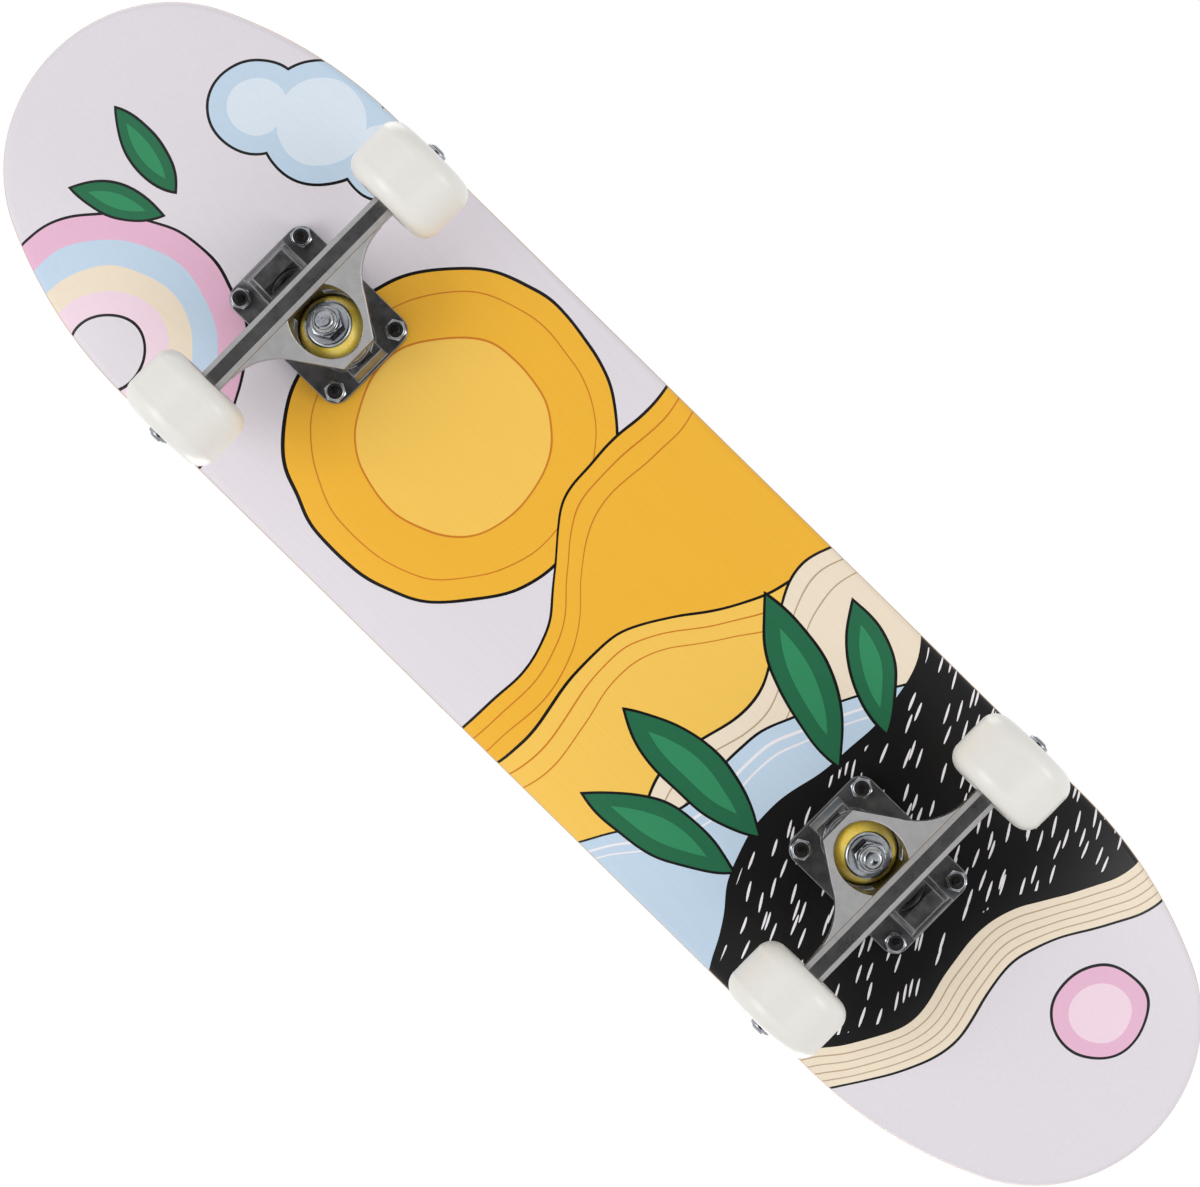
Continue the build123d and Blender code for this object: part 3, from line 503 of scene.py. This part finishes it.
# the outline is drawn in towards a spine along the middle, row by row: over the underside, round the lower
# and upper edge and back over the top; each plan point is then lifted to the board's height at its depth
def makeDeck():
    loop = deckOutline()
    spineEnd = (deckLength - deckWidth) / 2
    spine = np.stack([np.clip(loop[:, 0], -spineEnd, spineEnd), np.zeros(len(loop))], -1)
    inward = spine - loop
    reach = np.linalg.norm(inward, axis=1)
    edge, thick = deck["edgeRadius"], deck["thickness"]
    share = np.sin(np.linspace(0, math.pi / 2, 26))  # rows gather towards the edge
    turn = np.linspace(0, math.pi / 2, 7)
    lowerRim = np.stack([edge - edge * np.sin(turn), edge - edge * np.cos(turn)], -1)
    upperRim = np.stack([edge - edge * np.cos(turn), thick - edge + edge * np.sin(turn)], -1)
    # inset from the outline and depth above the underside, row by row
    inset = np.vstack([(reach - edge) * (1 - part) + edge for part in share]
                      + [np.full(len(loop), value) for value in np.r_[lowerRim[1:, 0], upperRim[:, 0]]]
                      + [(reach - edge) * (1 - part) + edge for part in share[-2::-1]])
    depth = np.r_[np.zeros(len(share)), lowerRim[1:, 1], upperRim[:, 1], np.full(len(share) - 1, thick)]
    plan = loop + inward * (inset / reach)[..., None]
    height = boardHeight(plan[..., 0], plan[..., 1], depth[:, None])
    grid = np.dstack([plan, height])
    depthGrid = np.repeat(depth[:, None] / thick, len(loop), 1)
    printRows = len(share) + len(turn) - 4  # the ink wraps the lower edge
    rowMarks = (np.arange(len(depth) - 1) >= printRows).astype(int)
    piece = makePiece("printedDeck", [grid], ["lacqueredScreenPrint", "sandedMaplePlies"], sharpAngle=60,
                      marks=[rowMarks], attribute=("plyDepth", [depthGrid]))
    settle(piece, "board", "printed_maple", "deck")


makeDeck()
grip = softenedCopy("gripTape", "grip_tape", "siliconCarbideGrip", 0)
settle(grip, "board", "grip_tape", "grip_tape")
print("deck and grip tape done")


# turns a profile of (radius, distance along the axis) about an axis; where a width is given, a hexagon's
# flats cut it, and a thread is its pitch, depth, first and last station
def turned(profile, origin, axis, steps=96, hexWidth=None, thread=None):
    profile = np.asarray(profile, float)
    axis = np.asarray(axis, float) / np.linalg.norm(axis)
    helper = np.array([0, 1, 0]) if abs(axis[1]) < 0.9 else np.array([1, 0, 0])
    sideways = np.cross(helper, axis)
    sideways /= np.linalg.norm(sideways)
    other = np.cross(axis, sideways)
    turn = np.arange(steps) / steps * 2 * math.pi
    radius = np.repeat(profile[:, :1], steps, 1)
    if hexWidth:
        corner = np.mod(turn + math.pi / 6, math.pi / 3) - math.pi / 6
        radius = np.minimum(radius, hexWidth / 2 / np.cos(corner))
    if thread:  # a V groove that climbs one pitch each turn, between two stations
        pitch, deep, first, last = thread
        along = profile[:, 1:]
        phase = np.mod(along / pitch - turn / (2 * math.pi), 1)
        fade = np.clip((along - first) / pitch, 0, 1) * np.clip((last - along) / pitch, 0, 1)
        radius = radius - np.where(radius > deep, deep * np.abs(2 * phase - 1) * fade, 0)
    ring = np.cos(turn)[:, None] * sideways + np.sin(turn)[:, None] * other
    return np.asarray(origin) + radius[..., None] * ring + profile[:, 1, None, None] * axis


# points on an arc in a profile, from one angle to another in degrees
def arc(centreRadius, centreAlong, size, first, last, count=8):
    angle = np.radians(np.linspace(first, last, count))
    return np.stack([centreRadius + size * np.cos(angle), centreAlong + size * np.sin(angle)], -1)


# wheels, in mm: a turned profile of round lips, a flat tread with a faint crown, and dished faces round the
# bearings
wheelShape = {"lip": 9, "mouth": 15, "floor": 12, "seat": 11.02, "bearingPair": 24, "rim": 0.8, "crown": 0.12}


def makeWheel(truck, side):
    node = f"{truck}_{side}_wheel"
    low, high = boxCorners(node)
    centre, radius, half = (low + high) / 2, (high - low)[2] / 2, (high - low)[1] / 2
    shape, lip, rim = wheelShape, wheelShape["lip"], wheelShape["rim"]
    pair = shape["bearingPair"] / 2
    tread = half - lip
    across = np.linspace(-tread, tread, 15)
    crown = radius - shape["crown"] * (across / tread) ** 2
    face = np.vstack([[[shape["seat"], 0], [shape["seat"], pair - 0.3], [shape["seat"] + 0.3, pair]],
                      arc(shape["floor"] - 0.4, pair + 0.4, 0.4, -90, 0, 4),
                      arc(shape["mouth"] + rim, half - rim, rim, 155, 90, 6)])
    lipArc = arc(radius - lip, tread, lip, 88, 4, 14)
    outer = np.vstack([face, [[radius - lip - 1.5, half]], lipArc])
    profile = np.vstack([outer, np.stack([crown, across], -1)[::-1], (outer * [1, -1])[::-1]])
    grid = turned(profile, centre, (0, 1, 0), 144)
    piece = makePiece(f"{truck}_{side}_urethaneWheel", [grid], ["whiteCastUrethane"], sharpAngle=50)
    settle(piece, f"{truck}_{side}_wheel", "white_urethane", node)


for truck in trucks:
    for side in sides:
        makeWheel(truck, side)
print("wheels done")


# truck sizes, in mm and degrees: the kingpin leans outboard towards the floor; stations run down along it
truckShape = {"kingpinLean": 12, "kingpinInset": 18.9, "kingpinRadius": 4.75, "kingpinPitch": 1.3,
              "head": (2, 7.5, 14.3), "boardWasher": (13, 15, 28.6), "roadWasher": (45, 43, 22.8), "lip": 1.0,
              "boardBushing": (15, 28, 26.6, 26.6), "roadBushing": (33, 43, 32.2, 20.6), "bushingEdge": 1.2,
              "bushingBulge": 0.5, "nut": (45, 53, 14.3), "end": 55, "threadLength": 16,
              "castEdge": 1.0, "plateEdge": 0.45}


# where the kingpin's line starts, in the plane of the deck's underside, and its direction down
def kingpinFrame(truck):
    low, high = boxCorners(f"{truck}_baseplate")
    way, lean = trucks[truck], math.radians(truckShape["kingpinLean"])
    root = np.array([(low + high)[0] / 2 - way * truckShape["kingpinInset"], 0, high[2]])
    return root, np.array([way * math.sin(lean), 0, -math.cos(lean)])


# a lock nut: a turned hexagon with chamfered corners, then a round collar rolled over a nylon ring; the
# chamfer is its width and height, the shares are of the nut's height and width
nutShape = {"hexShare": 0.68, "chamfer": (1.1, 0.6), "roll": 0.9, "ringSeat": 0.7, "ringBase": 0.75}


def lockNut(origin, axis, start, end, width, bore, collarShare=0.84, ringShare=0.45):
    chamferWidth, chamferHeight = nutShape["chamfer"]
    corner, collar, roll = width / 2 / math.cos(math.pi / 6), width / 2 * collarShare, nutShape["roll"]
    hexTop = start + nutShape["hexShare"] * (end - start)
    seat, base = end - nutShape["ringSeat"], end - nutShape["ringBase"]
    ringOut, ringIn = bore + ringShare * (collar - bore), bore - 0.05
    lower = np.linspace([corner - chamferWidth, start], [corner, start + chamferHeight], 12)
    upper = np.linspace([corner, hexTop - chamferHeight], [corner - chamferWidth, hexTop], 12)
    steel = np.vstack([[[bore, start]], lower, upper, [[collar + 0.2, hexTop], [collar, hexTop + 0.2]],
                       arc(collar - roll, end - roll, roll, 0, 90, 6),
                       [[ringOut + 0.15, end], [ringOut, end - 0.15], [ringOut, seat],
                        [bore, seat], [bore, start]]])
    ring = np.vstack([[[ringOut, base]], arc(ringOut - 0.2, end - 0.35, 0.2, 0, 90, 4),
                      arc(ringIn + 0.3, end - 0.45, 0.3, 90, 180, 4), [[ringIn, base], [ringOut, base]]])
    return turned(steel, origin, axis, 144, hexWidth=width), turned(ring, origin, axis, 72)


# one mesh of several lock nuts, zinc plated steel with rings of another finish
def makeLockNuts(name, nuts, ringFinish):
    grids = [grid for nut in nuts for grid in nut]
    marks = [np.full(len(grid) - 1, number) for nut in nuts for number, grid in enumerate(nut)]
    return makePiece(name, grids, ["zincPlatedSteel", ringFinish], marks=marks)


# a cupped washer: a turned flat disc with a rolled lip that rises towards the bushing
def makeCupWasher(truck, node, sizes):
    flat, seat, across = sizes
    way = 1 if seat > flat else -1
    thick, radius, bore = abs(seat - flat), across / 2, truckShape["kingpinRadius"] + 0.1
    top = thick + truckShape["lip"]
    profile = np.vstack([[[bore, 0.2], [bore + 0.2, 0]], arc(radius - 1.6, 1.6, 1.6, -90, 0, 8),
                         arc(radius - 0.45, top - 0.45, 0.45, 0, 180, 7),
                         arc(radius - 1.7, thick + 0.8, 0.8, 0, -90, 5),
                         [[bore + 0.2, thick], [bore, thick - 0.2], [bore, 0.2]]])
    root, axis = kingpinFrame(truck)
    grid = turned(profile * [1, way] + [0, flat], root, axis, 96)
    washer = makePiece(f"{truck}_{node}Piece", [grid], ["zincPlatedSteel"])
    settle(washer, "board", "zinc_steel", f"{truck}_{node}")


# a bushing: a turned profile with rounded ends, and straight sides that swell by half a sine between them
def makeBushing(truck, node, sizes):
    first, last, firstWidth, lastWidth = sizes
    edge, bore = truckShape["bushingEdge"], truckShape["kingpinRadius"] + 0.15
    share = np.linspace(0, 1, 25)[1:-1]
    swell = truckShape["bushingBulge"] * np.sin(share * math.pi)
    wall = np.stack([firstWidth / 2 + (lastWidth - firstWidth) / 2 * share + swell - 0.3,
                     first + edge + (last - first - 2 * edge) * share], -1)
    profile = np.vstack([[[bore, first + 0.3], [bore + 0.3, first]],
                         arc(firstWidth / 2 - edge - 0.3, first + edge, edge, -90, 0, 6), wall,
                         arc(lastWidth / 2 - edge - 0.3, last - edge, edge, 0, 90, 6),
                         [[bore + 0.3, last], [bore, last - 0.3], [bore, first + 0.3]]])
    root, axis = kingpinFrame(truck)
    piece = makePiece(f"{truck}_{node}Piece", [turned(profile, root, axis, 96)], ["yellowCastUrethane"])
    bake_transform(piece)
    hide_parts(f"{truck}_{node}")


# the kingpin: a turned hexagon head, a shank threaded at its free end, and a lock nut on it
def makeKingpin(truck):
    root, axis = kingpinFrame(truck)
    radius, tip = truckShape["kingpinRadius"], truckShape["end"]
    headStart, headEnd, headWidth = truckShape["head"]
    headCorner = headWidth * 0.577  # half the width over its corners
    head = turned([[0, headStart], [headWidth / 2, headStart], [headCorner, headStart + 0.6],
                   [headCorner, headEnd], [0, headEnd]], root, axis, 48, hexWidth=headWidth)
    threadStart = tip - truckShape["threadLength"]
    threaded = np.arange(threadStart, tip - 0.6, 0.16)
    shank = np.vstack([[[0, headEnd - 0.5], [radius, headEnd - 0.5]],
                       np.stack([np.full(len(threaded), radius), threaded], -1),
                       [[radius - 0.7, tip - 0.1], [radius - 1.2, tip], [1.4, tip],
                        [1.0, tip - 0.4], [0, tip - 0.5]]])
    rod = turned(shank, root, axis, 60, thread=(truckShape["kingpinPitch"], 0.45, threadStart, tip + 2))
    bolt = makePiece(f"{truck}_kingpinBolt", [head, rod], ["zincPlatedSteel"])
    settle(bolt, "board", "zinc_steel", f"{truck}_kingpin")
    start, end, width = truckShape["nut"]
    shapes = [lockNut(root, axis, start, end, width, radius)]
    nut = makeLockNuts(f"{truck}_kingpinLockNut", shapes, "undyedNylon")
    settle(nut, "board", "zinc_steel", f"{truck}_kingpin_nut")


# deck bolts: countersunk cross-recess heads above, lock nuts with black rings below
boltShape = {"spacing": (63.5, 41.3), "radius": 2.4, "headRadius": 4.7, "recessArm": 2.3, "recessWidth": 1.1,
             "recessDepth": 0.62, "plainRing": 3.2, "pitch": 0.8, "threadLength": 9, "nutWidth": 9.5,
             "collarShare": 0.94, "ringShare": 0.6}


# the head's top is a polar height field: it drops along two crossed arms that grow shallow outwards
def boltHead(place, top):
    rim, plain = boltShape["headRadius"], boltShape["plainRing"]
    radius = np.r_[np.linspace(0, plain, 22), [3.8, 4.3, rim - 0.1, rim]]
    turn = np.arange(96) / 96 * 2 * math.pi
    x, y = radius[:, None] * np.cos(turn), radius[:, None] * np.sin(turn)
    nearArm = np.minimum(np.abs(x), np.abs(y)) - boltShape["recessWidth"] / 2
    far = radius[:, None] - boltShape["recessArm"]
    inside = np.clip(0.5 - np.maximum(nearArm, far) / 0.25, 0, 1)
    deep = boltShape["recessDepth"] * (1 - 0.2 * radius[:, None] / boltShape["recessArm"])
    height = np.where(radius[:, None] < plain, -inside * np.maximum(deep, 0), 0) + top
    height[-1] -= 0.15
    return np.dstack([x + place[0], y + place[1], height])


# four bolts and four nuts of one truck: each shank is turned about an upright line, under its head
def makeDeckBolts(truck):
    low, high = boxCorners(f"{truck}_mount_bolts")
    nutLow, nutHigh = boxCorners(f"{truck}_mount_nuts")
    centre, (along, across) = (low + high) / 2, boltShape["spacing"]
    radius, head = boltShape["radius"], boltShape["headRadius"]
    threadEnd = low[2] + boltShape["threadLength"]
    thread = (boltShape["pitch"], 0.28, low[2] - 1, threadEnd)
    threaded = np.arange(low[2] + 0.5, threadEnd, 0.12)
    below = np.vstack([[[0, low[2]], [radius - 0.5, low[2]]],
                       np.stack([np.full(len(threaded), radius), threaded], -1),
                       [[radius, high[2] - 0.15 - head + radius], [head, high[2] - 0.15]]])
    bolts, nuts = [], []
    for dx in (-along / 2, along / 2):
        for dy in (-across / 2, across / 2):
            place = np.array([centre[0] + dx, centre[1] + dy, 0])
            shank = turned(below, place, (0, 0, 1), 48, thread=thread)
            bolts += [shank, boltHead(place, high[2])]
            nuts.append(lockNut([*place[:2], nutHigh[2]], (0, 0, -1), 0, nutHigh[2] - nutLow[2],
                                boltShape["nutWidth"], radius, boltShape["collarShare"],
                                boltShape["ringShare"]))
    bolt = makePiece(f"{truck}_deckBolts", bolts, ["blackOxideSteel"])
    settle(bolt, "board", "black_steel", f"{truck}_mount_bolts")
    nut = makeLockNuts(f"{truck}_deckLockNuts", nuts, "mouldedBlackNylon")
    settle(nut, "board", "zinc_steel", f"{truck}_mount_nuts")


# axle: a plain turned rod with threaded, chamfered ends, and a lock nut outside each wheel, in mm
axleShape = {"pitch": 1.06, "threadLength": 12, "nutWidth": 12.7, "nutHeight": 6.2}


def makeAxle(truck):
    low, high = boxCorners(f"{truck}_axle")
    nutEnd = boxCorners(f"{truck}_axle_nuts")[1][1]
    centre, half, radius = (low + high) / 2, (high - low)[1] / 2, (high - low)[2] / 2
    threadStart = half - axleShape["threadLength"]
    threaded = np.arange(threadStart, half - 0.7, 0.14)
    profile = np.vstack([[[radius, 0]], np.stack([np.full(len(threaded), radius), threaded], -1),
                         [[radius - 0.7, half - 0.1], [radius - 1.1, half], [0, half]]])
    rods, nuts = [], []
    for way in sides.values():
        rods.append(turned(profile, centre, (0, way, 0), 60,
                           thread=(axleShape["pitch"], 0.36, threadStart, half + 2)))
        nuts.append(lockNut(centre, (0, way, 0), nutEnd - axleShape["nutHeight"], nutEnd,
                            axleShape["nutWidth"], radius))
    rod = makePiece(f"{truck}_axleRod", rods, ["zincPlatedSteel"])
    settle(rod, f"{truck}_hanger", "zinc_steel", f"{truck}_axle")
    nut = makeLockNuts(f"{truck}_axleLockNuts", nuts, "mouldedBlackNylon")
    settle(nut, f"{truck}_hanger", "zinc_steel", f"{truck}_axle_nuts")


# small turned parts keep their solid's shape, with rounded edges: node, finish, slot, edge in mm, body
smallParts = [("pivot_cup", "mouldedBlackNylon", "black_nylon", 0.25, "board"),
              ("speed_washers", "zincPlatedSteel", "zinc_steel", 0.15, "hanger"),
              ("bearing_inner_rings", "groundBearingSteel", "bearing_steel", 0.2, "hanger")]
for truck in trucks:
    makeCupWasher(truck, "board_washer", truckShape["boardWasher"])
    makeCupWasher(truck, "road_washer", truckShape["roadWasher"])
    makeBushing(truck, "board_bushing", truckShape["boardBushing"])
    makeBushing(truck, "road_bushing", truckShape["roadBushing"])
    makeKingpin(truck)
    makeDeckBolts(truck)
    makeAxle(truck)
    plate = softenedCopy(f"{truck}_castBaseplate", f"{truck}_baseplate", "castBaseplateAluminium",
                         truckShape["plateEdge"], clamp=False)
    settle(plate, "board", "cast_aluminium", f"{truck}_baseplate")
    casting = softenedCopy(f"{truck}_castHanger", f"{truck}_hanger", "castHangerAluminium",
                           truckShape["castEdge"])
    settle(casting, f"{truck}_hanger", "cast_aluminium", f"{truck}_hanger")
    for part, finish, slotName, edge, body in smallParts:
        piece = softenedCopy(f"{truck}_{part}Piece", f"{truck}_{part}", finish, edge)
        settle(piece, "board" if body == "board" else f"{truck}_hanger", slotName, f"{truck}_{part}")
    for side in sides:
        ringNode = f"{truck}_{side}_bearing_outer_rings"
        rings = softenedCopy(f"{truck}_{side}_outerRings", ringNode, "groundBearingSteel", 0.2)
        settle(rings, f"{truck}_{side}_wheel", "bearing_steel", ringNode)
    print(truck, "truck done")

# the nodes that stay as they are get the finish of their slot
nodeFinishes = {"bearing_spacers": "zincPlatedSteel", "bearing_shields": "phosphatedShieldSteel",
                "bearing_balls": "groundBearingSteel", "bearing_cages": "undyedNylon"}
for name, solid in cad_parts.items():
    for part, finish in nodeFinishes.items():
        if name.endswith(part):
            solid.data.materials.clear()
            solid.data.materials.append(finishes[finish])


# a flat square of the studio, in metres
def makeSquare(name, half, height, material):
    mesh = bpy.data.meshes.new(name)
    corners = [(-half, -half, height), (half, -half, height), (half, half, height), (-half, half, height)]
    mesh.from_pydata(corners, [], [(0, 1, 2, 3)])
    mesh.materials.append(material)
    square = bpy.data.objects.new(name, mesh)
    bpy.context.scene.collection.objects.link(square)
    return square


# the floor shows only from above, and light and sight pass it from below, because the camera looks up
# through it; no lamp lights it, it glows, and its shadow is painted: darker where a point sees less of the
# room, and it turns from pale to white with distance, in metres
floorLook = {"near": "#F1F1F0", "shade": "#8C8B8A", "shadeReach": 0.22, "fade": (0.5, 1.6), "corner": 3.0}


def makeFloor():
    material, tree, shader = newMaterial("paleStudioFloor")
    place = addNode(tree, "TexCoord").outputs["Object"]
    away = addNode(tree, "VectorMath", {"operation": "LENGTH"}, {0: place})
    far = addNode(tree, "MapRange", {"From Min": floorLook["fade"][0], "From Max": floorLook["fade"][1]},
                  {"Value": away.outputs["Value"]})
    pale = addNode(tree, "Mix", {"data_type": "RGBA", 6: linear(floorLook["near"]), 7: (1, 1, 1, 1)},
                   {0: far.outputs[0]})
    # painted shadow: ambient occlusion mixes the floor's glow towards the shade colour where the object is
    # near
    unshaded = addNode(tree, "AmbientOcclusion", {"samples": 12, "Distance": floorLook["shadeReach"]})
    shaded = addNode(tree, "Mix", {"data_type": "RGBA", 6: linear(floorLook["shade"])},
                     {0: unshaded.outputs["AO"], 7: pale.outputs[2]})
    glow = addNode(tree, "Emission", {}, {"Color": shaded.outputs[2]})
    clear = addNode(tree, "BsdfTransparent")
    facing = addNode(tree, "NewGeometry")
    mixed = addNode(tree, "MixShader", {},
                    {0: facing.outputs["Backfacing"], 1: glow.outputs[0], 2: clear.outputs[0]})
    tree.links.new(mixed.outputs[0], tree.nodes["Material Output"].inputs["Surface"])
    tree.nodes.remove(shader)
    floor = makeSquare("studioFloor", floorLook["corner"], 0, material)
    floor.visible_shadow = False
    floor.visible_glossy = False
    floor.visible_diffuse = False


# a dark card behind the camera, seen only in gloss, so that metal facing the lens reads dark; in metres
darkCard = {"height": -2.35, "half": 1.15, "tint": "#1E1E22", "light": "#28282C"}


def makeDarkCard():
    material, tree, shader = newMaterial("blackStudioCard")
    place = addNode(tree, "TexCoord").outputs["Object"]
    mottle = addNode(tree, "TexNoise", {"Scale": 3.0}, {"Vector": place})
    tint = addNode(tree, "Mix", {"data_type": "RGBA", 6: linear(darkCard["tint"]),
                                 7: linear(darkCard["light"])}, {0: mottle.outputs["Fac"]})
    tree.links.new(tint.outputs[2], shader.inputs["Base Color"])
    shader.inputs["Roughness"].default_value = 0.9
    card = makeSquare("blackStudioCard", darkCard["half"], darkCard["height"], material)
    card.visible_camera = False
    card.visible_diffuse = False
    card.visible_shadow = False


# world: plain soft light on the object, white where the camera, metal or clear parts see the background;
# lamps are place and size in metres, and power in watts
studio = {"worldLight": 0.7, "lamps": [((1.3, -1.8, -1.7), 1.6, 26), ((-1.9, 1.2, -1.3), 1.2, 15),
                                       ((-1.2, -1.4, 2.0), 1.6, 22), ((1.6, 1.0, 1.4), 1.2, 8)]}


def makeStudio():
    world = bpy.data.worlds.new("studioWorld")
    bpy.context.scene.world = world
    world.use_nodes = True
    tree = world.node_tree
    path = addNode(tree, "LightPath")
    seen = addNode(tree, "Math", {"operation": "MAXIMUM"},
                   {0: path.outputs["Is Camera Ray"], 1: path.outputs["Is Glossy Ray"]})
    shown = addNode(tree, "Math", {"operation": "MAXIMUM"},
                    {0: seen.outputs[0], 1: path.outputs["Is Transmission Ray"]})
    level = addNode(tree, "MapRange", {"To Min": studio["worldLight"], "To Max": 1.0},
                    {"Value": shown.outputs[0]})
    ground = tree.nodes["Background"]
    ground.inputs["Color"].default_value = (1, 1, 1, 1)
    tree.links.new(level.outputs[0], ground.inputs["Strength"])
    for number, (place, size, power) in enumerate(studio["lamps"]):
        lamp = bpy.data.lights.new(f"softbox{number}", "AREA")
        lamp.size = size
        lamp.energy = power
        holder = bpy.data.objects.new(f"softbox{number}", lamp)
        holder.location = place
        holder.rotation_euler = (-Vector(place)).to_track_quat("-Z", "Y").to_euler()
        bpy.context.scene.collection.objects.link(holder)
    bpy.context.scene.view_settings.view_transform = "Standard"


# the camera looks straight up at the underside, turned so that the front points to the picture's upper left;
# place and aim in metres, turn in degrees, lens in mm
camera = {"place": (0.0012, -0.0007, -1.92), "aim": (0.0012, -0.0007, 0.079), "turn": 44.52, "lens": 124.8}


def makeCamera():
    data = bpy.data.cameras.new("photoCamera")
    data.lens = camera["lens"]
    data.sensor_width = 36
    holder = bpy.data.objects.new("photoCamera", data)
    turn = math.radians(camera["turn"])
    spot = Vector(camera["place"])
    back = (spot - Vector(camera["aim"])).normalized()
    right = Vector((math.sin(turn), math.cos(turn), 0)).cross(back).normalized()
    up = back.cross(right)
    holder.matrix_world = Matrix(((right.x, up.x, back.x, spot.x), (right.y, up.y, back.y, spot.y),
                                  (right.z, up.z, back.z, spot.z), (0, 0, 0, 1)))
    bpy.context.scene.collection.objects.link(holder)
    bpy.context.scene.camera = holder


makeFloor()
makeDarkCard()
makeStudio()
makeCamera()
print("floor, light and camera done")
